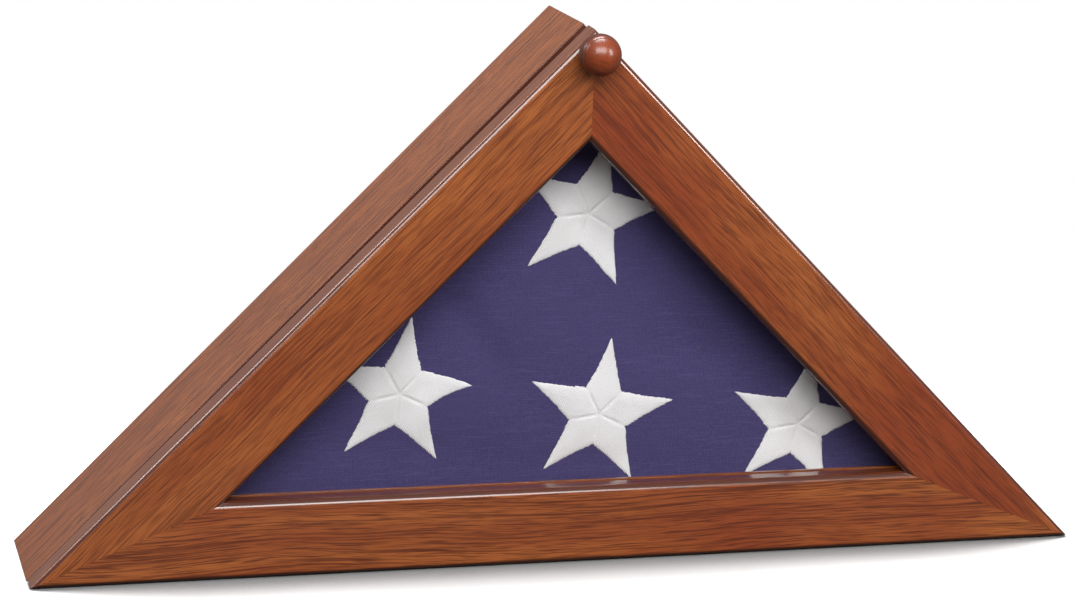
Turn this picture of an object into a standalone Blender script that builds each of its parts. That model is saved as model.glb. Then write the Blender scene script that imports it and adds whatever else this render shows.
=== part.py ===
"""Triangular display case for a folded flag, with a glazed door hinged along its bottom edge.

Metres, +Z up. X runs along the base, the door faces -Y, and the origin is under the middle of the
object. The case is three mitred boards with a panel let into the back. The door is three mitred
rails around a pane. It turns on two butt hinges that lie folded under its bottom edge, and it rests
against a magnetic catch at the apex, which holds it a few millimetres off the case.
"""

import math

import bmesh
import bpy
from mathutils import Matrix, Vector

# --- Driving dimensions -----------------------------------------------------------------------
GAP = 0.0003  # between touching pieces
OVER = 0.002  # how far a cutter runs past the face it cuts

# Case
BASE_WIDTH = 0.660  # outside, along the base; the apex is a right angle
CASE_DEPTH = 0.080
BOARD_THICKNESS = 0.014
BACK_RABBET_WIDTH = 0.007
BACK_RABBET_DEPTH = 0.006
BACK_PANEL_RECESS = 0.0005

# Door
DOOR_REVEAL = 0.0007  # the door's outline is this much shorter than the case at each end
DOOR_LIFT = 0.001  # its bottom edge above the case's
DOOR_THICKNESS = 0.018
RAIL_FACE = 0.0446  # flat face and outer chamfer, up to the inner chamfer
OUTER_CHAMFER = 0.002
INNER_CHAMFER = 0.0028
LIP_THICKNESS = 0.012  # wood in front of the glass
RABBET_WIDTH = 0.006
GLASS_THICKNESS = 0.002
DOOR_LEAN = math.radians(1.55)  # how far the catch holds the closed door off the case
DOOR_GAP = 0.0008  # between the door's back and the case at the bottom
BACK_RELIEF = 0.0016  # chamfer on the door's back bottom edge, which swings past the case

# Hinges
PIVOT_SETBACK = 0.005  # behind the door's front face
PIVOT_RISE = 0.0058  # above the door's bottom edge
HINGE_X = 0.190
HINGE_LENGTH = 0.050
KNUCKLE_RADIUS = 0.002
PIN_RADIUS = 0.0009
PIN_CLEARANCE = 0.0001
LEAF_THICKNESS = 0.001
CASE_LEAF_REACH = 0.030
HINGE_SCREW_SPACING = 0.030

# Knob and catch
KNOB_RADIUS = 0.0127
KNOB_STANDOFF = 0.0105  # from the rail's face to the middle of the ball
KNOB_HEIGHT = 0.3162  # above the door's bottom edge
CATCH_HEIGHT = 0.2961
STRIKE_THICKNESS = 0.0015
CATCH_CLEARANCE = 0.0005  # between the strike plate and the catch's nose
BLOCK_BOTTOM = 0.2865
BLOCK_FRONT = 0.004
BLOCK_BACK = 0.034

# Flag: 5 ft by 9 1/2 ft, folded to a triangle whose short sides are 15 inches
FLAG_SIDE = 0.381
FLAG_FRONT = 0.008  # behind the case's front edges
FLAG_BACK = 0.0735
FLAG_EDGE_RADIUS = 0.007

MITRE_BASE = math.radians(22.5)  # half the corner's angle
MITRE_APEX = math.radians(45)
ROOT2 = math.sqrt(2)

# --- Derived places ---------------------------------------------------------------------------
SIGHT = RAIL_FACE + INNER_CHAMFER
DOOR_WIDTH = BASE_WIDTH - 2 * DOOR_REVEAL
PIVOT_Z = DOOR_LIFT + PIVOT_RISE
BACK_ARM = DOOR_THICKNESS - PIVOT_SETBACK
RELIEF_DROP = PIVOT_RISE - BACK_RELIEF
# The pivot stands so that the leaning door's back just clears the case's front edges.
PIVOT_FROM_CASE = DOOR_GAP + BACK_ARM * math.cos(DOOR_LEAN) + RELIEF_DROP * math.sin(DOOR_LEAN)
KNOB_FORWARD = PIVOT_SETBACK + KNOB_STANDOFF
KNOB_UP = KNOB_HEIGHT - PIVOT_RISE
FRONT_REACH = (
    PIVOT_FROM_CASE
    + KNOB_FORWARD * math.cos(DOOR_LEAN)
    + KNOB_UP * math.sin(DOOR_LEAN)
    + KNOB_RADIUS
)
CASE_FRONT = (FRONT_REACH - CASE_DEPTH) / 2  # its y, which centres the whole object
CASE_BACK = CASE_FRONT + CASE_DEPTH
PIVOT_Y = CASE_FRONT - PIVOT_FROM_CASE


# --- Materials --------------------------------------------------------------------------------
def make_material(name, color, roughness, metallic=0.0, transmission=0.0):
    material = bpy.data.materials.new(name)
    material.use_nodes = True
    shader = material.node_tree.nodes["Principled BSDF"]
    shader.inputs["Base Color"].default_value = (*color, 1)
    shader.inputs["Roughness"].default_value = roughness
    shader.inputs["Metallic"].default_value = metallic
    shader.inputs["Transmission Weight"].default_value = transmission
    return material


def make_materials():
    return {
        "case_wood": make_material("case_wood", (0.28, 0.09, 0.04), 0.35),
        "door_wood": make_material("door_wood", (0.30, 0.10, 0.04), 0.3),
        "block_wood": make_material("block_wood", (0.55, 0.40, 0.24), 0.7),
        "back_panel": make_material("back_panel", (0.20, 0.12, 0.07), 0.7),
        "glass": make_material("glass", (0.95, 0.98, 0.97), 0.02, transmission=0.9),
        "brass": make_material("brass", (0.75, 0.55, 0.25), 0.3, 1.0),
        "steel": make_material("steel", (0.6, 0.6, 0.6), 0.35, 1.0),
        "plastic": make_material("plastic", (0.04, 0.03, 0.03), 0.5),
        "flag_cloth": make_material("flag_cloth", (0.06, 0.05, 0.14), 0.9),
    }


# --- Mesh tools -------------------------------------------------------------------------------
def clear_scene():
    for item in list(bpy.data.objects):
        bpy.data.objects.remove(item, do_unlink=True)


def finish_mesh(name, mesh_data, material, parent=None, smooth=False):
    """Turn a bmesh into a named object whose faces point out."""
    bmesh.ops.recalc_face_normals(mesh_data, faces=mesh_data.faces)
    mesh = bpy.data.meshes.new(name)
    mesh_data.to_mesh(mesh)
    mesh_data.free()
    mesh.materials.append(material)
    if smooth:
        mesh.shade_smooth()
        mesh.set_sharp_from_angle(angle=math.radians(35))
    item = bpy.data.objects.new(name, mesh)
    bpy.context.collection.objects.link(item)
    item.parent = parent
    return item


def prism(name, outline, low, high, material, parent=None):
    """An outline of (x, z) points, extruded along Y from low to high."""
    shape = bmesh.new()
    near = [shape.verts.new((x, low, z)) for x, z in outline]
    far = [shape.verts.new((x, high, z)) for x, z in outline]
    shape.faces.new(near)
    shape.faces.new(far)
    for i in range(len(outline)):
        j = (i + 1) % len(outline)
        shape.faces.new((near[i], near[j], far[j], far[i]))
    return finish_mesh(name, shape, material, parent)


def box(name, low, high, material, parent=None):
    outline = [(low[0], low[2]), (high[0], low[2]), (high[0], high[2]), (low[0], high[2])]
    return prism(name, outline, low[1], high[1], material, parent)


def turned(name, profile, place, direction, segments, material, parent=None, smooth=True):
    """A profile of (radius, distance) points, turned about a line through place."""
    shape = bmesh.new()
    rings = []
    for radius, along in profile:
        if radius == 0:
            rings.append([shape.verts.new((0, 0, along))])
            continue
        ring = []
        for i in range(segments):
            angle = 2 * math.pi * i / segments
            ring.append(shape.verts.new((radius * math.cos(angle), radius * math.sin(angle), along)))
        rings.append(ring)
    for lower, upper in zip(rings, rings[1:]):
        for i in range(segments):
            j = (i + 1) % segments
            corners = [lower[i % len(lower)], lower[j % len(lower)]]
            corners += [upper[j % len(upper)], upper[i % len(upper)]]
            shape.faces.new(list(dict.fromkeys(corners)))
    turn = Vector(direction).to_track_quat("Z", "Y").to_matrix().to_4x4()
    shape.transform(Matrix.Translation(place) @ turn)
    return finish_mesh(name, shape, material, parent, smooth)


def rod(name, radius, place, direction, length, segments, material, parent=None):
    profile = [(0, 0), (radius, 0), (radius, length), (0, length)]
    return turned(name, profile, place, direction, segments, material, parent)


def combine(item, tool, operation):
    """Apply a Boolean with a tool in the same space as the item, and remove the tool."""
    tool.parent = item.parent
    modifier = item.modifiers.new(operation.lower(), "BOOLEAN")
    modifier.operation = operation
    modifier.object = tool
    modifier.solver = "EXACT"
    bpy.context.view_layer.update()
    result = bpy.data.meshes.new_from_object(
        item.evaluated_get(bpy.context.evaluated_depsgraph_get())
    )
    item.modifiers.clear()
    item.data = result
    bpy.data.objects.remove(tool, do_unlink=True)


def cut(item, tool):
    combine(item, tool, "DIFFERENCE")


def fuse(item, tool):
    combine(item, tool, "UNION")


# --- Triangle geometry ------------------------------------------------------------------------
def triangle_corner(width, inset, corner):
    """A corner of the triangle whose base is width, moved in by inset, as (x, z)."""
    if corner == "apex":
        return (0.0, width / 2 - inset * ROOT2)
    x = width / 2 - inset / math.tan(MITRE_BASE)
    return (-x if corner == "left" else x, inset)


def triangle(width, inset):
    return [triangle_corner(width, inset, corner) for corner in ("left", "right", "apex")]


def mitred_member(name, width, ends, profile, origin, material, parent=None):
    """One side of a mitred triangle. The profile is (inset, depth) points; origin is (y, z)."""
    shape = bmesh.new()
    rings = []
    for end, other in (ends, ends[::-1]):
        ring = []
        angle = MITRE_APEX if end == "apex" else MITRE_BASE
        pull = GAP / 2 / math.sin(angle)
        for inset, depth in profile:
            here = Vector(triangle_corner(width, inset, end))
            there = Vector(triangle_corner(width, inset, other))
            here += (there - here).normalized() * pull
            ring.append(shape.verts.new((here.x, origin[0] + depth, origin[1] + here.y)))
        rings.append(ring)
    count = len(profile)
    shape.faces.new(rings[0])
    shape.faces.new(rings[1])
    for i in range(count):
        j = (i + 1) % count
        shape.faces.new((rings[0][i], rings[0][j], rings[1][j], rings[1][i]))
    return finish_mesh(name, shape, material, parent)


SIDES = {"left": ("left", "apex"), "right": ("right", "apex"), "bottom": ("left", "right")}


def point_on_edge(width, side, share, inset):
    """The (x, z) point at a share of the way along a side, moved in by inset."""
    start = Vector(triangle_corner(width, inset, SIDES[side][0]))
    end = Vector(triangle_corner(width, inset, SIDES[side][1]))
    return start.lerp(end, share)


# --- Screws -----------------------------------------------------------------------------------
SCREW_SIDES = 12
SCREW_RIM = 0.0003
SCREW_TIP = 0.0015
SCREW_SINK = 0.0001  # of its head below a metal plate's face
SLOT_HALF_WIDTH = 0.0003
SLOT_DEPTH = 0.0005


def screw_profile(head, head_height, shaft, length, grow=0.0):
    """A countersunk screw from its head's face at 0 to its tip; grow makes its clearance hole."""
    start = -OVER if grow else 0.0
    return [
        (0, start),
        (head + grow, start),
        (head + grow, SCREW_RIM),
        (shaft + grow, head_height + SCREW_RIM),
        (shaft + grow, length - SCREW_TIP + grow),
        (0, length + grow),
    ]


def add_screw(name, size, place, direction, hosts, material, parent=None):
    """A slotted countersunk screw, and its clearance hole in each of its hosts."""
    head, head_height, shaft, length = size
    hole = screw_profile(head, head_height, shaft, length, GAP)
    for host in hosts:
        cut(host, turned("hole", hole, place, direction, SCREW_SIDES, material))
    profile = screw_profile(head, head_height, shaft, length)
    screw = turned(name, profile, place, direction, SCREW_SIDES, material, parent)
    along = Vector(direction)
    across = Vector((1, 0, 0)) if abs(along.x) < abs(along.y) + abs(along.z) else Vector((0, 1, 0))
    side = along.cross(across)
    slot_low = (-head * 2, -SLOT_HALF_WIDTH, -OVER)
    slot_high = (head * 2, SLOT_HALF_WIDTH, SLOT_DEPTH)
    slot = box("slot", slot_low, slot_high, material)
    frame = Matrix((across, side, along)).transposed().to_4x4()
    slot.data.transform(Matrix.Translation(place) @ frame)
    cut(screw, slot)
    return screw


PANEL_SCREW = (0.0025, 0.0015, 0.00125, 0.014)
HINGE_SCREW = (0.0020, 0.0008, 0.0011, 0.0070)
STRIKE_SCREW = (0.0025, 0.0010, 0.0012, 0.0110)


# --- Case -------------------------------------------------------------------------------------
def make_case(materials):
    rabbet_floor = CASE_DEPTH - BACK_RABBET_DEPTH
    rabbet_wall = BOARD_THICKNESS - BACK_RABBET_WIDTH
    profile = [
        (0, 0),
        (BOARD_THICKNESS, 0),
        (BOARD_THICKNESS, rabbet_floor),
        (rabbet_wall, rabbet_floor),
        (rabbet_wall, CASE_DEPTH),
        (0, CASE_DEPTH),
    ]
    boards = {}
    for side in ("left", "right", "bottom"):
        name = "bottom_board" if side == "bottom" else f"{side}_side_board"
        boards[side] = mitred_member(
            name, BASE_WIDTH, SIDES[side], profile, (CASE_FRONT, 0), materials["case_wood"]
        )
    panel = prism(
        "back_panel",
        triangle(BASE_WIDTH, rabbet_wall + GAP),
        CASE_FRONT + rabbet_floor + GAP,
        CASE_BACK - BACK_PANEL_RECESS,
        materials["back_panel"],
    )
    number = 0
    for side, board in boards.items():
        for share in (0.25, 0.75):
            number += 1
            x, z = point_on_edge(BASE_WIDTH, side, share, BOARD_THICKNESS - BACK_RABBET_WIDTH / 2)
            add_screw(
                f"back_panel_screw_{number}",
                PANEL_SCREW,
                (x, CASE_BACK - BACK_PANEL_RECESS - GAP, z),
                (0, -1, 0),
                (panel, board),
                materials["steel"],
            )
    return boards


def make_catch(materials):
    """The block in the apex, and the barrel catch whose nose the door's strike plate meets."""
    apex_z = triangle_corner(BASE_WIDTH, BOARD_THICKNESS + GAP, "apex")[1]
    half = apex_z - BLOCK_BOTTOM
    outline = [(-half, BLOCK_BOTTOM), (half, BLOCK_BOTTOM), (0, apex_z)]
    front = CASE_FRONT + BLOCK_FRONT
    block = prism("corner_block", outline, front, CASE_FRONT + BLOCK_BACK, materials["block_wood"])

    barrel_radius, barrel_length = 0.0055, 0.018
    flange_radius, flange_thickness = 0.0070, 0.0015
    nose_radius = 0.0060
    magnet_radius, magnet_length = 0.0042, 0.005
    nose_front = door_back_y(CATCH_HEIGHT) + GAP + STRIKE_THICKNESS + CATCH_CLEARANCE
    nose_reach = front - GAP - nose_front
    flange_front = nose_reach - flange_thickness
    place = (0, nose_front, CATCH_HEIGHT)
    profile = [
        (0, magnet_length + GAP),
        (magnet_radius + GAP, magnet_length + GAP),
        (magnet_radius + GAP, 0),
        (nose_radius, 0),
        (nose_radius, flange_front),
        (flange_radius, flange_front),
        (flange_radius, nose_reach),
        (barrel_radius, nose_reach),
        (barrel_radius, nose_reach + barrel_length),
        (0, nose_reach + barrel_length),
    ]
    turned("catch_housing", profile, place, (0, 1, 0), 20, materials["plastic"])
    hole_place = (0, front - OVER, CATCH_HEIGHT)
    hole_length = barrel_length + OVER + GAP
    hole = rod(
        "hole", barrel_radius + GAP, hole_place, (0, 1, 0), hole_length, 20, materials["block_wood"]
    )
    cut(block, hole)
    rod("catch_magnet", magnet_radius, place, (0, 1, 0), magnet_length, 20, materials["steel"])


def rise_at(height):
    """How far above the pivot, along the leaning door's back, a height in the world is."""
    return (height - PIVOT_Z - BACK_ARM * math.sin(DOOR_LEAN)) / math.cos(DOOR_LEAN)


def door_back_y(height):
    """The y of the leaning door's back face at a height in the world."""
    return PIVOT_Y + BACK_ARM * math.cos(DOOR_LEAN) - rise_at(height) * math.sin(DOOR_LEAN)


# --- Door -------------------------------------------------------------------------------------
def door_place(x, depth, height):
    """A point of the door, behind its front face and above its bottom edge, in its pivot's space."""
    return (x, depth - PIVOT_SETBACK, height - PIVOT_RISE)


def make_door(materials, pivot):
    origin = (-PIVOT_SETBACK, -PIVOT_RISE)
    wood = materials["door_wood"]
    rabbet = SIGHT - RABBET_WIDTH
    profile = [
        (0, OUTER_CHAMFER),
        (OUTER_CHAMFER, 0),
        (RAIL_FACE, 0),
        (SIGHT, INNER_CHAMFER),
        (SIGHT, LIP_THICKNESS),
        (rabbet, LIP_THICKNESS),
        (rabbet, DOOR_THICKNESS),
        (0, DOOR_THICKNESS),
    ]
    rails = {}
    for side in ("left", "right", "bottom"):
        name = f"door_{side}_rail"
        rails[side] = mitred_member(name, DOOR_WIDTH, SIDES[side], profile, origin, wood, pivot)

    for rail in rails.values():
        cut(rail, back_relief(wood, pivot))

    glass_low = LIP_THICKNESS + GAP
    glass_high = glass_low + GLASS_THICKNESS
    outline = [(x, z - PIVOT_RISE) for x, z in triangle(DOOR_WIDTH, rabbet + GAP)]
    prism(
        "glass_pane",
        outline,
        glass_low - PIVOT_SETBACK,
        glass_high - PIVOT_SETBACK,
        materials["glass"],
        pivot,
    )
    bead_front = glass_high + GAP
    bead_back = DOOR_THICKNESS - GAP
    bead_chamfer = 0.001
    bead = [
        (rabbet + GAP, bead_front),
        (SIGHT, bead_front),
        (SIGHT, bead_back - bead_chamfer),
        (SIGHT - bead_chamfer, bead_back),
        (rabbet + GAP, bead_back),
    ]
    for side in ("left", "right", "bottom"):
        mitred_member(f"glass_bead_{side}", DOOR_WIDTH, SIDES[side], bead, origin, wood, pivot)
    return rails


def back_relief(material, pivot):
    """The wedge cut from the door's back bottom edge, all along the base."""
    low = -PIVOT_RISE
    outline = [
        (BACK_ARM - BACK_RELIEF - OVER, low - OVER),
        (BACK_ARM + OVER, low - OVER),
        (BACK_ARM + OVER, low + BACK_RELIEF + OVER),
    ]
    shape = bmesh.new()
    ends = []
    for x in (-BASE_WIDTH, BASE_WIDTH):
        ends.append([shape.verts.new((x, y, z)) for y, z in outline])
    shape.faces.new(ends[0])
    shape.faces.new(ends[1])
    for i in range(3):
        j = (i + 1) % 3
        shape.faces.new((ends[0][i], ends[0][j], ends[1][j], ends[1][i]))
    return finish_mesh("relief", shape, material, pivot)


def chevron(place, point_direction, leg, thickness, grow):
    """The outline of a V-nail, its point at place, opening against point_direction."""
    point = Vector(place)
    forward = Vector(point_direction).normalized()
    half = thickness / 2 + grow
    corner = forward * half * ROOT2
    ends = []
    for turn in (45, -45):
        along = Matrix.Rotation(math.radians(turn), 2) @ -forward
        outer = Vector((-along.y, along.x))
        if outer.dot(forward) < 0:
            outer.negate()
        tip = point + along * (leg + grow)
        ends.append((tip + outer * half, tip - outer * half))
    outline = [point + corner, *ends[0], point - corner, *reversed(ends[1])]
    return [(p.x, p.y) for p in outline]


def add_v_nails(materials, rails, pivot):
    """Two V-nails across each mitre, let in from the door's back."""
    leg, thickness, depth = 0.0050, 0.0007, 0.0080
    corners = {
        "left": (("left", "bottom"), (0.058, 0.088)),
        "right": (("right", "bottom"), (0.058, 0.088)),
        "apex": (("left", "right"), (0.0225, 0.0500)),
    }
    for corner, (sides, distances) in corners.items():
        outside = Vector(triangle_corner(DOOR_WIDTH, 0, corner))
        inwards = (Vector(triangle_corner(DOOR_WIDTH, SIGHT, corner)) - outside).normalized()
        for number, distance in enumerate(distances, 1):
            spot = outside + inwards * distance - Vector((0, PIVOT_RISE))
            for side in sides:
                slot = chevron(spot, -inwards, leg, thickness, GAP)
                low = BACK_ARM - depth - 2 * GAP
                cut(rails[side], prism("slot", slot, low, BACK_ARM + OVER, materials["steel"]))
            outline = chevron(spot, -inwards, leg, thickness, 0)
            name = f"v_nail_{corner}_{number}"
            prism(name, outline, BACK_ARM - GAP - depth, BACK_ARM - GAP, materials["steel"], pivot)


def add_knob(materials, rails, pivot):
    """A ball with a flat base, and the machine screw that holds it through the apex mitre."""
    wood = materials["door_wood"]
    screw_radius, bore_depth, segments, rings = 0.0020, 0.012, 20, 9
    base_reach = KNOB_STANDOFF - GAP
    bore = screw_radius + GAP
    start = math.acos(-base_reach / KNOB_RADIUS)
    profile = [(0, -base_reach + bore_depth), (bore, -base_reach + bore_depth), (bore, -base_reach)]
    for i in range(rings + 1):
        angle = start * (1 - i / rings)
        radius = KNOB_RADIUS * math.sin(angle) if i < rings else 0
        profile.append((radius, KNOB_RADIUS * math.cos(angle)))
    centre = door_place(0, -KNOB_STANDOFF, KNOB_HEIGHT)
    turned("knob", profile, centre, (0, -1, 0), segments, wood, pivot)

    head_radius, head_height = 0.0040, 0.0022
    slot_half, slot_depth = 0.0005, 0.0008
    short_of_bore = 0.0015
    screw_length = DOOR_THICKNESS + bore_depth - short_of_bore
    back = door_place(0, DOOR_THICKNESS + GAP, KNOB_HEIGHT)
    head_top = head_radius * 0.6
    screw = [
        (0, -head_height),
        (head_top, -head_height),
        (head_radius, -head_height * 0.45),
        (head_radius, 0),
        (screw_radius, 0),
        (screw_radius, screw_length),
        (0, screw_length),
    ]
    item = turned("knob_screw", screw, back, (0, -1, 0), 16, materials["steel"], pivot)
    slot_low = (-head_radius * 2, back[1] + head_height - slot_depth, back[2] - slot_half)
    slot_high = (head_radius * 2, back[1] + head_height + OVER, back[2] + slot_half)
    cut(item, box("slot", slot_low, slot_high, materials["steel"]))
    for side in ("left", "right"):
        hole = rod("hole", bore, back, (0, -1, 0), DOOR_THICKNESS + OVER, 16, wood)
        cut(rails[side], hole)


def add_strike(materials, rails, pivot):
    radius = 0.008
    rise = rise_at(CATCH_HEIGHT)
    face = BACK_ARM + GAP
    plate = rod(
        "strike_plate", radius, (0, face, rise), (0, 1, 0), STRIKE_THICKNESS, 20,
        materials["steel"], pivot,
    )
    add_screw(
        "strike_plate_screw",
        STRIKE_SCREW,
        (0, face + STRIKE_THICKNESS - SCREW_SINK, rise),
        (0, -1, 0),
        (plate, rails["left"], rails["right"]),
        materials["steel"],
        pivot,
    )


# --- Hinges -----------------------------------------------------------------------------------
def knuckle_spans(centre):
    """The x ranges of the two outer knuckles and of the middle one."""
    low, high = centre - HINGE_LENGTH / 2, centre + HINGE_LENGTH / 2
    third = (HINGE_LENGTH - 2 * GAP) / 3
    outer = [(low, low + third), (high - third, high)]
    return outer, (low + third + GAP, high - third - GAP)


def make_leaf(name, plate_low, plate_high, reach, knuckles, all_knuckles, materials, parent, y, z):
    """A leaf: a plate behind the pivot, joined to its own knuckles and clear of the others."""
    brass = materials["brass"]
    clear = KNUCKLE_RADIUS + GAP
    into_knuckle, into_plate = 0.0002, 0.001
    low_x, high_x = all_knuckles
    leaf = box(name, (low_x, y + clear, z + plate_low), (high_x, y + reach, z + plate_high), brass)
    leaf.parent = parent
    for start, end in knuckles:
        tab_low = (start, y + into_knuckle, z + plate_low)
        tab_high = (end, y + clear + into_plate, z + plate_high)
        fuse(leaf, box("tab", tab_low, tab_high, brass))
        fuse(leaf, rod("knuckle", KNUCKLE_RADIUS, (start, y, z), (1, 0, 0), end - start, 16, brass))
    bore = rod(
        "bore", PIN_RADIUS + PIN_CLEARANCE, (low_x - OVER, y, z), (1, 0, 0),
        HINGE_LENGTH + 2 * OVER, 16, brass,
    )
    cut(leaf, bore)
    return leaf


def make_hinge(side, materials, pivot, bottom_board, bottom_rail):
    centre = -HINGE_X if side == "left" else HINGE_X
    outer, middle = knuckle_spans(centre)
    span = (centre - HINGE_LENGTH / 2, centre + HINGE_LENGTH / 2)
    outside = -KNUCKLE_RADIUS
    inside = outside + LEAF_THICKNESS
    short_of_back = 0.0015
    door_leaf_reach = BACK_ARM - short_of_back
    pin_head_radius, pin_head, pin_tail = 0.0014, 0.0008, 0.0004

    # Room for the folded hinge in the door's bottom edge and under the bottom board
    pin_room = pin_head + 3 * GAP
    notch_low = (span[0] - pin_room, outside - GAP, -PIVOT_RISE - OVER)
    notch_high = (span[1] + pin_room, BACK_ARM + OVER, KNUCKLE_RADIUS + GAP)
    cut(bottom_rail, box("notch", notch_low, notch_high, materials["door_wood"]))
    mortise_low = (span[0] - GAP, CASE_FRONT - OVER, -OVER)
    mortise_high = (span[1] + GAP, PIVOT_Y + CASE_LEAF_REACH + GAP, PIVOT_Z + inside + GAP)
    cut(bottom_board, box("mortise", mortise_low, mortise_high, materials["case_wood"]))

    case_leaf = make_leaf(
        f"{side}_hinge_case_leaf", outside, inside, CASE_LEAF_REACH, outer, span,
        materials, None, PIVOT_Y, PIVOT_Z,
    )
    door_leaf = make_leaf(
        f"{side}_hinge_door_leaf", -inside, -outside, door_leaf_reach, [middle], span,
        materials, pivot, 0, 0,
    )
    pin_length = pin_head + GAP + HINGE_LENGTH + pin_tail
    pin_profile = [
        (0, 0),
        (pin_head_radius, 0),
        (pin_head_radius, pin_head),
        (PIN_RADIUS, pin_head),
        (PIN_RADIUS, pin_length),
        (0, pin_length),
    ]
    pin_start = (span[0] - pin_head - GAP, PIVOT_Y, PIVOT_Z)
    turned(f"{side}_hinge_pin", pin_profile, pin_start, (1, 0, 0), 16, materials["steel"])

    door_screw_y = (KNUCKLE_RADIUS + GAP + door_leaf_reach) / 2
    case_screw_y = (PIVOT_Y + CASE_LEAF_REACH + CASE_FRONT) / 2
    for number, offset in enumerate((-HINGE_SCREW_SPACING / 2, HINGE_SCREW_SPACING / 2), 1):
        add_screw(
            f"{side}_hinge_case_screw_{number}",
            HINGE_SCREW,
            (centre + offset, case_screw_y, PIVOT_Z + outside + SCREW_SINK),
            (0, 0, 1),
            (case_leaf, bottom_board),
            materials["brass"],
        )
        add_screw(
            f"{side}_hinge_door_screw_{number}",
            HINGE_SCREW,
            (centre + offset, door_screw_y, -inside + SCREW_SINK),
            (0, 0, 1),
            (door_leaf, bottom_rail),
            materials["brass"],
            pivot,
        )


# --- Flag -------------------------------------------------------------------------------------
def make_flag(materials):
    half = FLAG_SIDE / ROOT2
    floor = BOARD_THICKNESS + GAP
    outline = [(-half, floor), (half, floor), (0, floor + half)]
    low, high = CASE_FRONT + FLAG_FRONT, CASE_FRONT + FLAG_BACK
    flag = prism("folded_flag", outline, low, high, materials["flag_cloth"])
    bevel = flag.modifiers.new("soft_edges", "BEVEL")
    bevel.width = FLAG_EDGE_RADIUS
    bevel.segments = 3
    bevel.limit_method = "ANGLE"
    flag.data.shade_smooth()
    flag.data.set_sharp_from_angle(angle=math.radians(50))


def main():
    clear_scene()
    materials = make_materials()
    boards = make_case(materials)
    make_catch(materials)

    pivot = bpy.data.objects.new("door_pivot", None)
    bpy.context.collection.objects.link(pivot)
    pivot.location = (0, PIVOT_Y, PIVOT_Z)
    pivot.rotation_euler = (DOOR_LEAN, 0, 0)
    rails = make_door(materials, pivot)
    for side in ("left", "right"):
        make_hinge(side, materials, pivot, boards["bottom"], rails["bottom"])
    add_v_nails(materials, rails, pivot)
    add_knob(materials, rails, pivot)
    add_strike(materials, rails, pivot)
    make_flag(materials)
    bpy.context.view_layer.update()


main()
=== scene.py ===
"""The looks of the folded flag display case: wood, glass, metal, the folded flag and its stars."""

import math
import random

import bmesh
import bpy
from mathutils import Matrix, Vector, noise


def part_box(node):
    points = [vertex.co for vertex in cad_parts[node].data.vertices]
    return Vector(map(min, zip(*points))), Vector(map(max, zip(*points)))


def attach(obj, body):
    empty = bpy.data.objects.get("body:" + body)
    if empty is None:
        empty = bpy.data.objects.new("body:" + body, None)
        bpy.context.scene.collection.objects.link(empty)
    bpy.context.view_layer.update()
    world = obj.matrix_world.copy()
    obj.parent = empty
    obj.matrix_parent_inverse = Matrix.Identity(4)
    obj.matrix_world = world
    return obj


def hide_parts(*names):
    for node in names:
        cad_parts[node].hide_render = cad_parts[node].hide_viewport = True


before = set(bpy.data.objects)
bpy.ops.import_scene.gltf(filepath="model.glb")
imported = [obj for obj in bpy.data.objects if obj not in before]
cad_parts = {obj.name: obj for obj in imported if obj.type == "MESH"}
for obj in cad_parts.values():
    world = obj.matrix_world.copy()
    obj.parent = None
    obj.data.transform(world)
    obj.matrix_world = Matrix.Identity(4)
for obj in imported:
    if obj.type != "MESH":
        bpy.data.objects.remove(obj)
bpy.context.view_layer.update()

# --- Driving values, in metres ------------------------------------------------------------------
DOOR_LEAN = math.radians(1.55)  # how far the closed door leans forward
CLEAR = 0.0003  # between touching pieces

CAMERA_AZIMUTH = math.radians(15.17)  # to the left of the front
CAMERA_ELEVATION = math.radians(13.27)
CAMERA_ROLL = math.radians(1.89)
CAMERA_DISTANCE = 1.814
CAMERA_LENS = 100.6  # millimetres, on a sensor 36 mm wide
AIM_X, AIM_Z = -0.0232, 0.1581  # the point it aims at, on the plane of the case's front edges

CASE_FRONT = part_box("bottom_board")[0].y
FLAG_LOW, FLAG_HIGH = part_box("folded_flag")
FLAG_HALF = (FLAG_HIGH.x - FLAG_LOW.x) / 2
FLAG_BASE = FLAG_LOW.z
FLAG_APEX = FLAG_BASE + FLAG_HALF  # the folds meet at a right angle
ROOT2 = math.sqrt(2)


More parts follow.
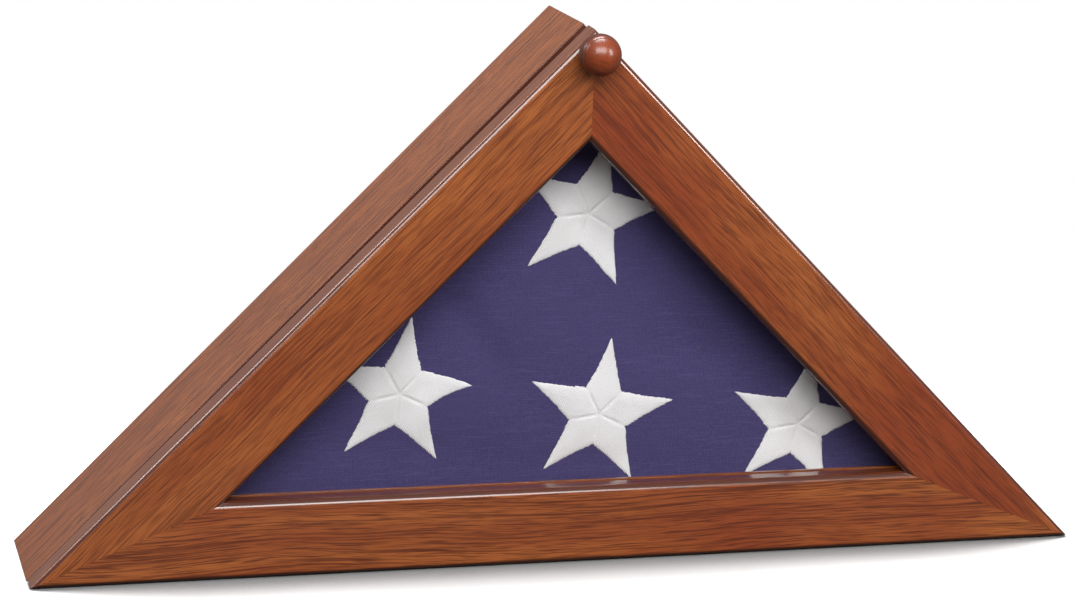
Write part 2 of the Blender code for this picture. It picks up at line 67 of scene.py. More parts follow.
# --- Node helpers -------------------------------------------------------------------------------
class Shading:
    """A material whose nodes are added one by one."""

    def __init__(self, name):
        self.material = bpy.data.materials.new(name)
        self.material.use_nodes = True
        self.tree = self.material.node_tree
        self.shader = self.tree.nodes["Principled BSDF"]
        self.place = self.add("ShaderNodeTexCoord").outputs["Object"]

    def add(self, kind, inputs=None, **settings):
        node = self.tree.nodes.new(kind)
        for name, value in settings.items():
            setattr(node, name, value)
        for name, value in (inputs or {}).items():
            self.feed(node.inputs[name], value)
        return node

    def feed(self, socket, value):
        if isinstance(value, bpy.types.NodeSocket):
            self.tree.links.new(value, socket)
        else:
            socket.default_value = value

    def surface(self, **inputs):
        for name, value in inputs.items():
            self.feed(self.shader.inputs[name.replace("_", " ")], value)

    def mapped(self, vector, move=(0, 0, 0), turn=(0, 0, 0), scale=(1, 1, 1)):
        node = self.add(
            "ShaderNodeMapping", {"Vector": vector, "Location": move, "Rotation": turn, "Scale": scale}
        )
        return node.outputs[0]

    def noise(self, vector, scale, detail=2.0, roughness=0.5):
        inputs = {"Vector": vector, "Scale": scale, "Detail": detail, "Roughness": roughness}
        return self.add("ShaderNodeTexNoise", inputs).outputs["Fac"]

    def bands(self, vector, direction, scale, distortion):
        inputs = {"Vector": vector, "Scale": scale, "Distortion": distortion, "Detail": 2.0}
        node = self.add("ShaderNodeTexWave", inputs, wave_type="BANDS", bands_direction=direction)
        return node.outputs["Fac"]

    def ranged(self, value, low, high, to_low=0.0, to_high=1.0, smooth=True):
        kind = "SMOOTHSTEP" if smooth else "LINEAR"
        inputs = {0: value, 1: low, 2: high, 3: to_low, 4: to_high}
        return self.add("ShaderNodeMapRange", inputs, interpolation_type=kind).outputs[0]

    def mixed(self, share, first, second):
        node = self.add("ShaderNodeMix", data_type="RGBA")
        self.feed(node.inputs[0], share)
        for number, color in ((6, first), (7, second)):
            linked = isinstance(color, bpy.types.NodeSocket)
            self.feed(node.inputs[number], color if linked else (*color, 1))
        return node.outputs[2]

    def maths(self, operation, first, second=0.0):
        return self.add("ShaderNodeMath", {0: first, 1: second}, operation=operation).outputs[0]

    def bump(self, height, strength, distance, before=None):
        inputs = {"Height": height, "Strength": strength, "Distance": distance}
        if before is not None:
            inputs["Normal"] = before
        return self.add("ShaderNodeBump", inputs).outputs[0]

    def dot(self, vector, direction):
        node = self.add("ShaderNodeVectorMath", {0: vector, 1: direction}, operation="DOT_PRODUCT")
        return node.outputs["Value"]


# --- Materials ----------------------------------------------------------------------------------
WOOD_DARK = (0.085, 0.016, 0.006)
WOOD_MIDDLE = (0.250, 0.060, 0.016)
WOOD_LIGHT = (0.335, 0.097, 0.024)
WOOD_RED = (0.215, 0.036, 0.011)
# painted shade: the dark colour mixed in wherever shade is painted
WOOD_PAINTED_SHADE = (0.060, 0.013, 0.006)
# a pale grey that stands for dust and a painted sheen
WOOD_DUST_AND_SHEEN = (0.18, 0.12, 0.09)


def wood(
    name, grain_turn, seed, red=0.3, light=0.5, dust_and_sheen=0.0, lines=1.0, coat=1.0, blur=0.18,
    painted_shade_edges=True, inwards=None, painted_shade_front=False, painted_shade_rim=0.0,
):
    """Varnished oak with a cherry stain. The grain runs along X turned by grain_turn about Y.

    red, light and lines say how much of each the stain has, and a fourth share mixes in a pale grey
    that stands for dust and a painted sheen. Painted shade darkens the chamfers, unless turned off,
    and, given an inward direction, the inner and outer sides. Painted shade can also darken the
    front, or the rim of a turned piece.
    """
    look = Shading(name)
    along = look.mapped(look.place, move=(seed * 0.37, seed * 0.11, seed * 0.23), turn=(0, grain_turn, 0))
    sway = look.noise(look.mapped(along, scale=(5, 12, 12)), 1.0, 2.0)
    shift = look.add("ShaderNodeCombineXYZ", {"Z": look.ranged(sway, 0.2, 0.8, -0.003, 0.003)})
    grain = look.add("ShaderNodeVectorMath", {0: along, 1: shift.outputs[0]}, operation="ADD").outputs[0]
    figure = look.noise(look.mapped(grain, scale=(1.8, 55, 55)), 1.0, 3.0, 0.6)
    rings = look.noise(look.mapped(grain, scale=(6, 760, 760)), 1.0, 1.0, 0.5)
    threads = look.noise(look.mapped(grain, scale=(28, 1450, 1450)), 1.0, 1.0, 0.5)
    pores = look.noise(look.mapped(grain, scale=(55, 2300, 2300)), 1.0, 1.0, 0.5)
    patches = look.noise(along, 6.0, 2.0)

    base = look.mixed(look.ranged(figure, 0.32, 0.66), WOOD_MIDDLE, WOOD_LIGHT)
    base = look.mixed(look.ranged(patches, 0.66 - red * 0.5, 0.86 - red * 0.4, 0.0, 0.85), base, WOOD_RED)
    base = look.mixed(look.ranged(patches, 0.30, 0.52, 0.5 * light, 0.0), base, WOOD_LIGHT)
    base = look.mixed(look.ranged(rings, 0.53, 0.66, 0.0, 0.50 * lines), base, WOOD_DARK)
    base = look.mixed(look.ranged(threads, 0.54, 0.66, 0.0, 0.62 * lines), base, WOOD_DARK)
    base = look.mixed(look.ranged(pores, 0.50, 0.66, 0.0, 0.50 * lines), base, WOOD_DARK)
    # an even share of pale grey: dust and a painted sheen
    base = look.mixed(dust_and_sheen, base, WOOD_DUST_AND_SHEEN)
    facing = look.add("ShaderNodeTexCoord").outputs["Normal"]
    front = look.dot(facing, (0, -1, 0))
    # painted shade on chamfers, and on front faces too when that option is on
    if painted_shade_edges:
        edge = look.ranged(front, 0.25, 0.6, 0.0, 0.88)
        if not painted_shade_front:
            edge = look.maths("MULTIPLY", look.ranged(front, 0.84, 0.97, 1.0, 0.0), edge)
        base = look.mixed(edge, base, WOOD_PAINTED_SHADE)
    # painted shade round the rim of a turned piece, darker the more it faces sideways
    if painted_shade_rim:
        base = look.mixed(look.ranged(front, 0.1, 0.92, painted_shade_rim, 0.0), base, WOOD_PAINTED_SHADE)
    # painted shade on the inner side and, more lightly, on the outer side
    if inwards is not None:
        towards = look.dot(facing, inwards)
        base = look.mixed(look.ranged(towards, 0.5, 0.9, 0.0, 0.7), base, WOOD_PAINTED_SHADE)
        base = look.mixed(look.ranged(towards, -0.98, -0.85, 0.45, 0.0), base, WOOD_PAINTED_SHADE)
    look.surface(
        Base_Color=base,
        Roughness=look.ranged(threads, 0.3, 0.7, 0.36, 0.48),
        Specular_IOR_Level=0.22,
        Coat_Weight=coat,
        Coat_IOR=1.7,
        Coat_Roughness=blur,
        Normal=look.bump(pores, 0.06, -0.0001, look.bump(rings, 0.03, -0.0001)),
    )
    return look.material


def bare_wood(name, light, dark, seed):
    """Unvarnished wood whose grain runs along X."""
    look = Shading(name)
    along = look.mapped(look.place, move=(seed * 0.3, 0, seed * 0.2))
    rings = look.noise(look.mapped(along, scale=(3, 130, 130)), 1.0, 4.0, 0.65)
    fibres = look.noise(look.mapped(along, scale=(30, 1100, 1100)), 1.0, 2.0)
    base = look.mixed(look.ranged(rings, 0.40, 0.62, 0.0, 0.8), light, dark)
    base = look.mixed(look.ranged(fibres, 0.45, 0.65, 0.0, 0.55), base, dark)
    look.surface(Base_Color=base, Roughness=0.72, Normal=look.bump(fibres, 0.25, 0.0002))
    return look.material


def pane():
    """Clear glass: a share set by the angle is mirrored, and the rest goes straight through."""
    look = Shading("clear_glass")
    mirror = look.add("ShaderNodeBsdfGlossy", {"Roughness": 0.015})
    clear = look.add("ShaderNodeBsdfTransparent", {"Color": (0.975, 0.985, 0.98, 1)})
    share = look.add("ShaderNodeFresnel", {"IOR": 1.18})
    mix = look.add("ShaderNodeMixShader", {0: share.outputs[0], 1: clear.outputs[0], 2: mirror.outputs[0]})
    look.tree.links.new(mix.outputs[0], look.tree.nodes["Material Output"].inputs["Surface"])
    look.tree.nodes.remove(look.shader)
    return look.material


def metal(name, color, roughness, scratch):
    """Brushed metal, a little tarnished in patches."""
    look = Shading(name)
    marks = look.noise(look.mapped(look.place, scale=(300, 1800, 300)), 1.0, 3.0)
    tarnish = look.noise(look.place, 90.0, 3.0)
    dull = tuple(c * 0.62 for c in color)
    look.surface(
        Base_Color=look.mixed(look.ranged(tarnish, 0.45, 0.75, 0.0, 0.55), color, dull),
        Metallic=1.0,
        Roughness=look.ranged(marks, 0.3, 0.7, roughness, roughness + 0.16),
        Normal=look.bump(marks, scratch, 0.0001),
    )
    return look.material


def plastic():
    look = Shading("black_plastic")
    grain = look.noise(look.place, 1600.0, 2.0)
    look.surface(
        Base_Color=look.mixed(look.ranged(grain, 0.3, 0.7), (0.016, 0.015, 0.015), (0.030, 0.028, 0.027)),
        Roughness=0.48,
        Normal=look.bump(grain, 0.15, 0.0001),
    )
    return look.material


def flag_cloth():
    """Navy cotton: a plain weave under a soft nap, slightly faded in patches."""
    look = Shading("navy_cotton")
    warp = look.bands(look.place, "X", 260.0, 0.8)
    weft = look.bands(look.place, "Z", 260.0, 0.8)
    weave = look.maths("MULTIPLY", warp, weft)
    slubs = look.noise(look.mapped(look.place, scale=(60, 60, 900)), 1.0, 2.0)
    nap = look.noise(look.place, 900.0, 2.0)
    fade = look.noise(look.place, 14.0, 3.0)
    base = look.mixed(look.ranged(weave, 0.0, 1.0, 0.2, 0.8), (0.046, 0.035, 0.106), (0.092, 0.074, 0.190))
    base = look.mixed(look.ranged(nap, 0.42, 0.62, 0.0, 0.45), base, (0.038, 0.029, 0.090))
    base = look.mixed(look.ranged(slubs, 0.5, 0.8, 0.0, 0.35), base, (0.100, 0.084, 0.205))
    base = look.mixed(look.ranged(fade, 0.35, 0.75, 0.0, 0.25), base, (0.060, 0.048, 0.130))
    height = look.maths("ADD", weave, look.maths("MULTIPLY", nap, 0.4))
    look.surface(
        Base_Color=base,
        Roughness=0.95,
        Specular_IOR_Level=0.1,
        Sheen_Weight=0.04,
        Sheen_Roughness=0.6,
        Sheen_Tint=(0.70, 0.66, 0.90, 1),
        Normal=look.bump(height, 0.25, 0.00012),
    )
    return look.material


def star_thread():
    """Off-white embroidery thread, laid in close rows."""
    look = Shading("star_thread")
    warm = look.noise(look.place, 40.0, 3.0)
    rows = look.bands(look.mapped(look.place, turn=(0, 0.5, 0)), "X", 330.0, 5.0)
    cross = look.noise(look.place, 700.0)
    base = look.mixed(look.ranged(warm, 0.35, 0.70), (0.80, 0.755, 0.775), (0.72, 0.67, 0.685))
    base = look.mixed(look.ranged(rows, 0.0, 0.5, 0.18, 0.0), base, (0.52, 0.48, 0.49))
    height = look.maths("ADD", rows, cross)
    look.surface(
        Base_Color=base,
        Roughness=0.75,
        Sheen_Weight=0.2,
        Normal=look.bump(height, 0.5, 0.0003),
    )
    return look.material


# --- Mesh helpers -------------------------------------------------------------------------------
def make_piece(name, shape, material, body):
    bmesh.ops.recalc_face_normals(shape, faces=shape.faces)
    mesh = bpy.data.meshes.new(name)
    shape.to_mesh(mesh)
    shape.free()
    mesh.shade_smooth()
    mesh.materials.append(material)
    piece = bpy.data.objects.new(name, mesh)
    bpy.context.scene.collection.objects.link(piece)
    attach(piece, body)
    return piece


def bridge(shape, rings):
    """Faces between rings of as many points, and between a ring and a single point."""
    for lower, upper in zip(rings, rings[1:]):
        count = max(len(lower), len(upper))
        for i in range(count):
            j = (i + 1) % count
            corners = [lower[i % len(lower)], lower[j % len(lower)]]
            corners += [upper[j % len(upper)], upper[i % len(upper)]]
            shape.faces.new(list(dict.fromkeys(corners)))


# --- Wooden members -----------------------------------------------------------------------------
CORNER_HALF = math.radians(22.5)  # half of each base corner's angle
GRAIN_TURNS = {"left": math.pi / 4, "right": -math.pi / 4, "bottom": 0}
ALONG = {
    "left": Vector((1, 0, 1)).normalized(),
    "right": Vector((1, 0, -1)).normalized(),
    "bottom": Vector((1, 0, 0)),
}
INWARDS = {
    "left": Vector((1, 0, -1)).normalized(),
    "right": Vector((-1, 0, -1)).normalized(),
    "bottom": Vector((0, 0, 1)),
}
MITRE_NORMALS = (
    Vector((math.sin(CORNER_HALF), 0, -math.cos(CORNER_HALF))),
    Vector((math.sin(CORNER_HALF), 0, math.cos(CORNER_HALF))),
    Vector((1, 0, 0)),
)
MITRE_CLOSING = 0.42 * CLEAR  # how far each mitre face moves, square to itself
RAIL_ARRIS, BOARD_ARRIS, BEAD_ARRIS = 0.0013, 0.0008, 0.0003  # how wide long edges are rounded
LONG_EDGE = 0.08

# Each rail: its side, the seed of its grain, and how red, light and lined its wood is
RAILS = (
    ("left", 3, 0.25, 0.7, 1.0),
    ("right", 11, 0.6, 0.25, 1.0),
    ("bottom", 23, 0.40, 0.5, 1.35),
)
# Each board: its name and side, the seed of its grain, and its wood
BOARDS = (
    # the left board's pale grey share stands for dust and a painted sheen
    ("left_side_board", "left", 41, {"red": 0.1, "light": 0.1, "dust_and_sheen": 0.2, "lines": 1.75, "coat": 0.2}),
    ("right_side_board", "right", 53, {"red": 0.3, "light": 0.4, "coat": 0.3}),
    ("bottom_board", "bottom", 67, {"red": 0.3, "light": 0.4, "coat": 0.3}),
)


def close_mitres(shape, along):
    """Move the mitre faces along the member until its neighbours' faces all but meet."""
    moved = {}
    for face in shape.faces:
        for normal in MITRE_NORMALS:
            if abs(face.normal.dot(normal)) < 0.999 or abs(normal.dot(along)) < 0.3:
                continue
            pull = MITRE_CLOSING / abs(normal.dot(along))
            for vert in face.verts:
                moved[vert] = pull if face.normal.dot(along) > 0 else -pull
    for vert, pull in moved.items():
        vert.co += along * pull


def member(node, side, width, material):
    """A copy of a mitred CAD member with rounded long arrises and tight mitres.

    Edges underneath stay sharp, because the hinges are let in close to them.
    """
    body = "door" if node.startswith(("door", "glass")) else "case"
    along = ALONG[side].copy()
    if body == "door":
        along.rotate(Matrix.Rotation(DOOR_LEAN, 3, "X"))
    shape = bmesh.new()
    shape.from_mesh(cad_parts[node].data)
    bmesh.ops.remove_doubles(shape, verts=shape.verts, dist=0.00001)
    bmesh.ops.dissolve_limit(
        shape, angle_limit=math.radians(1), verts=shape.verts[:], edges=shape.edges[:]
    )
    close_mitres(shape, along)
    arrises = []
    for edge in shape.edges:
        line = (edge.verts[1].co - edge.verts[0].co).normalized()
        lengthwise = abs(line.dot(along)) > 0.999 and edge.calc_length() > LONG_EDGE
        underneath = any(face.normal.z < -0.9 for face in edge.link_faces)
        if lengthwise and not underneath and edge.is_convex and edge.calc_face_angle() > 0.35:
            arrises.append(edge)
    bmesh.ops.bevel(shape, geom=arrises, offset=width, segments=4, profile=0.5, affect="EDGES")
    piece = make_piece(f"{node}_oak", shape, material, body)
    piece.data.set_sharp_from_angle(angle=math.radians(30))
    normals = piece.modifiers.new("normals", "WEIGHTED_NORMAL")
    normals.keep_sharp = True
    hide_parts(node)


def make_members():
    for side, seed, red, light, lines in RAILS:
        name = f"{side}_rail_oak"
        # each rail gets painted shade on its inner and outer sides
        oak = wood(name, GRAIN_TURNS[side], seed, red, light, lines=lines, inwards=INWARDS[side])
        member(f"door_{side}_rail", side, RAIL_ARRIS, oak)
    for node, side, seed, stain in BOARDS:
        # the boards' front faces sit in the shaded gap behind the door, so they get painted shade
        oak = wood(f"{side}_board_oak", GRAIN_TURNS[side], seed, painted_shade_front=True, **stain)
        member(node, side, BOARD_ARRIS, oak)
    for seed, side in enumerate(GRAIN_TURNS, start=71):
        oak = wood(f"{side}_bead_oak", GRAIN_TURNS[side], seed, red=0.4, light=0.2)
        member(f"glass_bead_{side}", side, BEAD_ARRIS, oak)


# --- Finishes for the other CAD nodes -----------------------------------------------------------
def finish_node(node, material):
    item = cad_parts[node]
    item.data.materials.clear()
    item.data.materials.append(material)


def finish_nodes():
    finish_node("back_panel", bare_wood("back_plywood", (0.36, 0.22, 0.12), (0.22, 0.12, 0.06), 5))
    finish_node("corner_block", bare_wood("block_pine", (0.66, 0.50, 0.31), (0.50, 0.34, 0.18), 9))
    finish_node("glass_pane", pane())
    finish_node("catch_housing", plastic())
    brass = metal("lacquered_brass", (0.78, 0.58, 0.28), 0.24, 0.2)
    steel = metal("zinc_plate", (0.62, 0.62, 0.64), 0.30, 0.25)
    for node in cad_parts:
        if "hinge" in node and "pin" not in node:
            finish_node(node, brass)
        elif any(word in node for word in ("screw", "pin", "nail", "magnet", "strike")):
            finish_node(node, steel)


# --- Knob ---------------------------------------------------------------------------------------
FOOT_RIM, FOOT_EDGE = 0.0008, 0.0006  # how far the foot stands out from the neck, and its thickness
NECK_RADIUS, NECK_HEIGHT = 0.0066, 0.0022
BALL_START = 0.62  # the ball's first radius above the neck, as a share of its full one
GROOVE_PLACE = 0.43  # how far the groove is in front of the ball's centre, as a share of its radius
GROOVE_DEPTH, GROOVE_HALF = 0.00035, 0.00045
FACE_STEP, FACE_EASE = 0.010, 0.002  # how much smaller the ball is in front of the groove
KNOB_SIDES, KNOB_STEPS = 72, 56


def knob_profile(radius, foot):
    """Points (distance from the axis, distance along it from the ball's centre), foot first."""
    profile = [(0.0, foot), (NECK_RADIUS + FOOT_EDGE, foot), (NECK_RADIUS + FOOT_RIM, foot + FOOT_EDGE)]
    profile.append((NECK_RADIUS, foot + NECK_HEIGHT))
    groove_at = radius * GROOVE_PLACE
    start = math.acos(-math.sqrt(1 - BALL_START**2))
    for i in range(KNOB_STEPS):
        angle = start * (1 - i / KNOB_STEPS)
        along = radius * math.cos(angle)
        away = abs(along - groove_at) / GROOVE_HALF
        across = radius * math.sin(angle) - GROOVE_DEPTH * max(0.0, 1 - away**2)
        face = 1 - FACE_STEP * max(0.0, min(1.0, (along - groove_at) / FACE_EASE))
        profile.append((across * face, along * face))
    profile.append((0.0, radius * (1 - FACE_STEP)))
    return profile


def make_knob():
    """A turned ball with a fine groove round its face and a short neck."""
    low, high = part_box("knob")
    radius = (high.z - low.z) / 2
    centre = Vector(((low.x + high.x) / 2, low.y + radius, (low.z + high.z) / 2))
    outwards = Vector((0, -math.cos(DOOR_LEAN), -math.sin(DOOR_LEAN)))
    shape = bmesh.new()
    rings = []
    for across, along in knob_profile(radius, centre.y - high.y + CLEAR):
        ring = []
        for i in range(KNOB_SIDES if across else 1):
            angle = 2 * math.pi * i / KNOB_SIDES
            ring.append(shape.verts.new((across * math.cos(angle), across * math.sin(angle), along)))
        rings.append(ring)
    bridge(shape, rings)
    turn = outwards.to_track_quat("Z", "Y").to_matrix().to_4x4()
    shape.transform(Matrix.Translation(centre) @ turn)
    # the knob gets painted shade round its rim
    varnish = wood(
        "knob_oak", math.radians(-20), 87, red=0.75, light=0.3, lines=0.6, coat=0.45, blur=0.24,
        painted_shade_edges=False, painted_shade_rim=0.88,
    )
    knob = make_piece("turned_knob", shape, varnish, "door")
    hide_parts("knob")


# --- Flag ---------------------------------------------------------------------------------------
INCENTRE_RISE = FLAG_HALF * math.tan(CORNER_HALF)  # of the triangle, above its base
FRONT_DEPTH = 0.0012  # how far the front cloth lies behind the front of the flag's box
EDGE_ROLL = 0.008  # how deep the front rolls back at the folded edges
WAVE_EASE = 0.03  # how far from the edges the waves reach their full height
CORNER_RADIUS, CORNER_STEPS = 0.005, 8
OUTLINE_STEP = 0.0045
NORMAL_STEP = 0.0012  # between the points that give the front's slope
LAYERS, LAYER_STEPS = 9, 7
LAYERS_START = EDGE_ROLL + 0.0016  # behind the front of the flag's box
LAYERS_DEPTH = FLAG_HIGH.y - FLAG_LOW.y - LAYERS_START - 0.004
BACK_DEPTH = 0.0006  # how far the back lies in front of the back of the flag's box
# The rings of the back: how far inside the outline each is, and its depth
BACK_RINGS = ((0.004, 0.0022), (0.010, BACK_DEPTH), (0.030, BACK_DEPTH), (0.070, BACK_DEPTH))


def edge_distance(x, z):
    """How far a point lies inside the folded triangle's outline."""
    slope = (FLAG_APEX - z - abs(x)) / ROOT2
    return min(slope, z - FLAG_BASE)


def crease(x, z, start, end, width):
    """1 on a line between two points, falling to 0 at its width and towards its ends."""
    line = Vector(end) - Vector(start)
    offset = Vector((x, z)) - Vector(start)
    share = max(0.0, min(1.0, offset.dot(line) / line.length_squared))
    away = (offset - line * share).length / width
    return math.exp(-away * away) * math.sin(math.pi * share) ** 0.5


# Each soft fold: the (x, z) points it runs between, its width, and how deep it is
CREASES = (
    ((-0.085, 0.175), (-0.030, 0.100), 0.012, 0.0027),
    ((-0.160, 0.075), (-0.040, 0.060), 0.016, 0.0018),
    ((0.045, 0.135), (0.110, 0.120), 0.020, 0.0016),
    ((-0.060, 0.060), (0.090, 0.052), 0.010, 0.0007),
    ((0.020, 0.170), (0.060, 0.110), 0.018, 0.0015),
)


def front_y(x, z):
    """The y of the flag's front cloth."""
    inside = max(0.0, edge_distance(x, z))
    roll = 0.0
    if inside < EDGE_ROLL:
        roll = EDGE_ROLL * (1 - math.sqrt(1 - (1 - inside / EDGE_ROLL) ** 2))
    ease = min(1.0, inside / WAVE_EASE)
    slow = noise.noise(Vector((x * 9, z * 9, 1.7)))
    quick = noise.noise(Vector((x * 26, z * 26, 8.3)))
    waves = 0.0011 * slow + 0.00035 * quick
    for start, end, width, depth in CREASES:
        waves += depth * crease(x, z, start, end, width)
    return FLAG_LOW.y + FRONT_DEPTH + roll + waves * ease


def flag_outline():
    """Points round the folded triangle, with small round corners, and its centre."""
    corners = [
        Vector((-FLAG_HALF, FLAG_BASE)),
        Vector((FLAG_HALF, FLAG_BASE)),
        Vector((0, FLAG_APEX)),
    ]
    centre = Vector((0, FLAG_BASE + INCENTRE_RISE))
    points = []
    for index, corner in enumerate(corners):
        following = corners[(index + 1) % 3]
        inner = centre.lerp(corner, 1 - CORNER_RADIUS / INCENTRE_RISE)
        inner_next = centre.lerp(following, 1 - CORNER_RADIUS / INCENTRE_RISE)
        before = corner - corners[index - 1]
        after = following - corner
        turn_start = math.atan2(-before.x, before.y)
        turn_end = math.atan2(-after.x, after.y)
        while turn_end < turn_start:
            turn_end += 2 * math.pi
        for i in range(CORNER_STEPS):
            angle = turn_start + (turn_end - turn_start) * i / CORNER_STEPS
            points.append(inner + CORNER_RADIUS * Vector((math.cos(angle), math.sin(angle))))
        first = inner + CORNER_RADIUS * Vector((math.cos(turn_end), math.sin(turn_end)))
        last = inner_next + CORNER_RADIUS * Vector((math.cos(turn_end), math.sin(turn_end)))
        count = max(2, round((last - first).length / OUTLINE_STEP))
        points += [first.lerp(last, i / count) for i in range(count)]
    return points, centre


def smooth_front(mesh, front):
    """Give the front cloth's points the normals of front_y, which thin faces blur."""
    step = NORMAL_STEP
    normals = []
    for vert in mesh.vertices:
        x, z = vert.co.x, vert.co.z
        if vert.index >= front or edge_distance(x, z) < 2 * EDGE_ROLL:
            normals.append((0, 0, 0))
            continue
        slope_x = (front_y(x + step, z) - front_y(x - step, z)) / (2 * step)
        slope_z = (front_y(x, z + step) - front_y(x, z - step)) / (2 * step)
        normals.append(Vector((slope_x, -1, slope_z)).normalized())
    mesh.normals_split_custom_set_from_vertices(normals)


def layer_points(outline, centre, layer, step):
    """Points round the edge of a folded layer, which bulges out halfway through its steps."""
    share = (layer + step / LAYER_STEPS) / LAYERS
    bulge = abs(math.sin(math.pi * step / LAYER_STEPS)) ** 0.6
    points = []
    for point in outline:
        drift = noise.noise(Vector((point.x * 7, point.y * 7, layer * 3.1)))
        inset = 0.0006 + 0.0028 * (1 - bulge) + 0.0007 * (1 + drift)
        x, z = centre.lerp(point, 1 - inset / INCENTRE_RISE)
        sway = 0.0008 * noise.noise(Vector((point.x * 11, point.y * 11, 20 + layer)))
        y = FLAG_LOW.y + LAYERS_START + LAYERS_DEPTH * share
        points.append((x, y + (sway if share < 1 else 0), z))
    return points


def make_flag(cloth):
    """The folded bundle: a front layer with soft waves, folded layers round its edges, a back."""
    outline, centre = flag_outline()
    shape = bmesh.new()
    rings = [[shape.verts.new((centre.x, front_y(*centre), centre.y))]]
    front_rings = round(INCENTRE_RISE / OUTLINE_STEP)
    for i in range(1, front_rings + 1):
        share = 1 - (1 - i / front_rings) ** 1.25
        inner = [centre.lerp(point, share) for point in outline]
        rings.append([shape.verts.new((x, front_y(x, z), z)) for x, z in inner])
    front = len(shape.verts)
    for layer in range(LAYERS):
        for step in range(1, LAYER_STEPS + 1):
            points = layer_points(outline, centre, layer, step)
            rings.append([shape.verts.new(point) for point in points])
    for inset, depth in BACK_RINGS:
        inner = [centre.lerp(point, 1 - inset / INCENTRE_RISE) for point in outline]
        rings.append([shape.verts.new((x, FLAG_HIGH.y - depth, z)) for x, z in inner])
    rings.append([shape.verts.new((centre.x, FLAG_HIGH.y - BACK_DEPTH, centre.y))])
    bridge(shape, rings)
    flag = make_piece("folded_flag_cloth", shape, cloth, "case")
    smooth_front(flag.data, front)
    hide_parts("folded_flag")


# --- Stars --------------------------------------------------------------------------------------
# Each star: its centre on the flag's face, its radius, how far it is turned clockwise in degrees,
# and how far each arm swings clockwise and how much of its length it has, from the top one on
EVEN = ((0, 1), (0, 1), (0, 1), (0, 1), (0, 1))
STARS = (
    ("star_middle", 0.0212, 0.0864, 0.0486, 9.1, EVEN),
    ("star_top", 0.0098, 0.2126, 0.0495, 13.4, EVEN),
    ("star_left", -0.1049, 0.1035, 0.0488, 7.0, ((0, 1), (7, 0.93), (0, 1), (0, 1), (0, 1))),
    ("star_right", 0.1518, 0.0746, 0.0480, 10.6, EVEN),
)
STAR_WAIST = 0.40  # the inner corners' distance from the centre, beside the points'
STAR_LIFT = 0.0010  # how far the arms stand out from the cloth
STAR_SINK = 0.00005  # how far the star's back is in front of the cloth
STAR_SPOKES, STAR_RINGS = 400, 30
ARM_TURN = 2 * math.pi / 5
EDGE_JAG, EDGE_TOOTH = 0.00055, 0.00025  # how uneven and how zigzag the sewn edge is
SEAM_WIDTH, HUB_WIDTH = 0.0011, 0.004


def star_edge(turn):
    """The outline's distance from the centre at a turn from a point, as a share of the radius."""
    step = ARM_TURN / 2
    phase = turn % ARM_TURN
    if phase > step:
        phase = ARM_TURN - phase
    tip = Vector((1.0, 0.0))
    waist = Vector((STAR_WAIST * math.cos(step), STAR_WAIST * math.sin(step)))
    direction = Vector((math.cos(phase), math.sin(phase)))
    line = waist - tip
    share = (tip.x * line.y - tip.y * line.x) / (direction.x * line.y - direction.y * line.x)
    along = phase / step
    hollow = 0.018 * math.sin(math.pi * min(1.0, along * 1.4)) if along < 0.71 else 0.0
    return share - hollow


def make_star(name, centre_x, centre_z, radius, tilt, arms, thread):
    """A sewn star: puffed arms, radial seams to the inner corners and a zigzag edge."""
    draw = random.Random(name)
    shape = bmesh.new()
    tilt = math.radians(tilt)
    bends = [math.radians(swing) + draw.uniform(-0.02, 0.02) for swing, _ in arms]
    jagged = [draw.uniform(-1, 1) for _ in range(STAR_SPOKES)]

    def point(index, share):
        turn = 2 * math.pi * index / STAR_SPOKES
        arm = round(turn / ARM_TURN) % 5
        edge = radius * star_edge(turn)
        edge += EDGE_JAG * jagged[index] + (EDGE_TOOTH if index % 2 else -EDGE_TOOTH)
        reach = edge * share
        beyond = max(0.0, (reach / radius - STAR_WAIST) / (1 - STAR_WAIST))
        reach *= 1 - (1 - arms[arm][1]) * beyond
        angle = math.pi / 2 - tilt - turn - bends[arm] * beyond
        return centre_x + reach * math.cos(angle), centre_z + reach * math.sin(angle)

    def lift(index, share):
        turn = 2 * math.pi * index / STAR_SPOKES
        arm_phase = (turn / ARM_TURN) % 1.0
        from_seam = abs(arm_phase - 0.5) * ARM_TURN * share * radius * star_edge(turn)
        seam = 0.55 * math.exp(-((from_seam / SEAM_WIDTH) ** 2)) * min(1.0, 2.5 * (1 - share))
        puff = (1 - share**6) ** 0.5
        hub = 0.35 * math.exp(-((share * radius / HUB_WIDTH) ** 2))
        grain = 0.08 * noise.noise(Vector((index * 0.31, share * 40, 5.0)))
        return STAR_LIFT * max(0.12, puff * (1 - seam - hub + grain))

    y = front_y(centre_x, centre_z)
    top = [[shape.verts.new((centre_x, y - lift(0, 0), centre_z))]]
    bottom = [[shape.verts.new((centre_x, y - STAR_SINK, centre_z))]]
    for i in range(1, STAR_RINGS + 1):
        share = (i / STAR_RINGS) ** 0.85
        upper, lower = [], []
        for index in range(STAR_SPOKES):
            x, z = point(index, share)
            y = front_y(x, z)
            upper.append(shape.verts.new((x, y - lift(index, share), z)))
            if i in (STAR_RINGS // 2, STAR_RINGS):
                lower.append(shape.verts.new((x, y - STAR_SINK, z)))
        top.append(upper)
        if lower:
            bottom.append(lower)
    bridge(shape, top)
    bridge(shape, [top[-1], *reversed(bottom)])
    make_piece(name, shape, thread, "case")


def make_stars():
    thread = star_thread()
    for star in STARS:
        make_star(*star, thread)


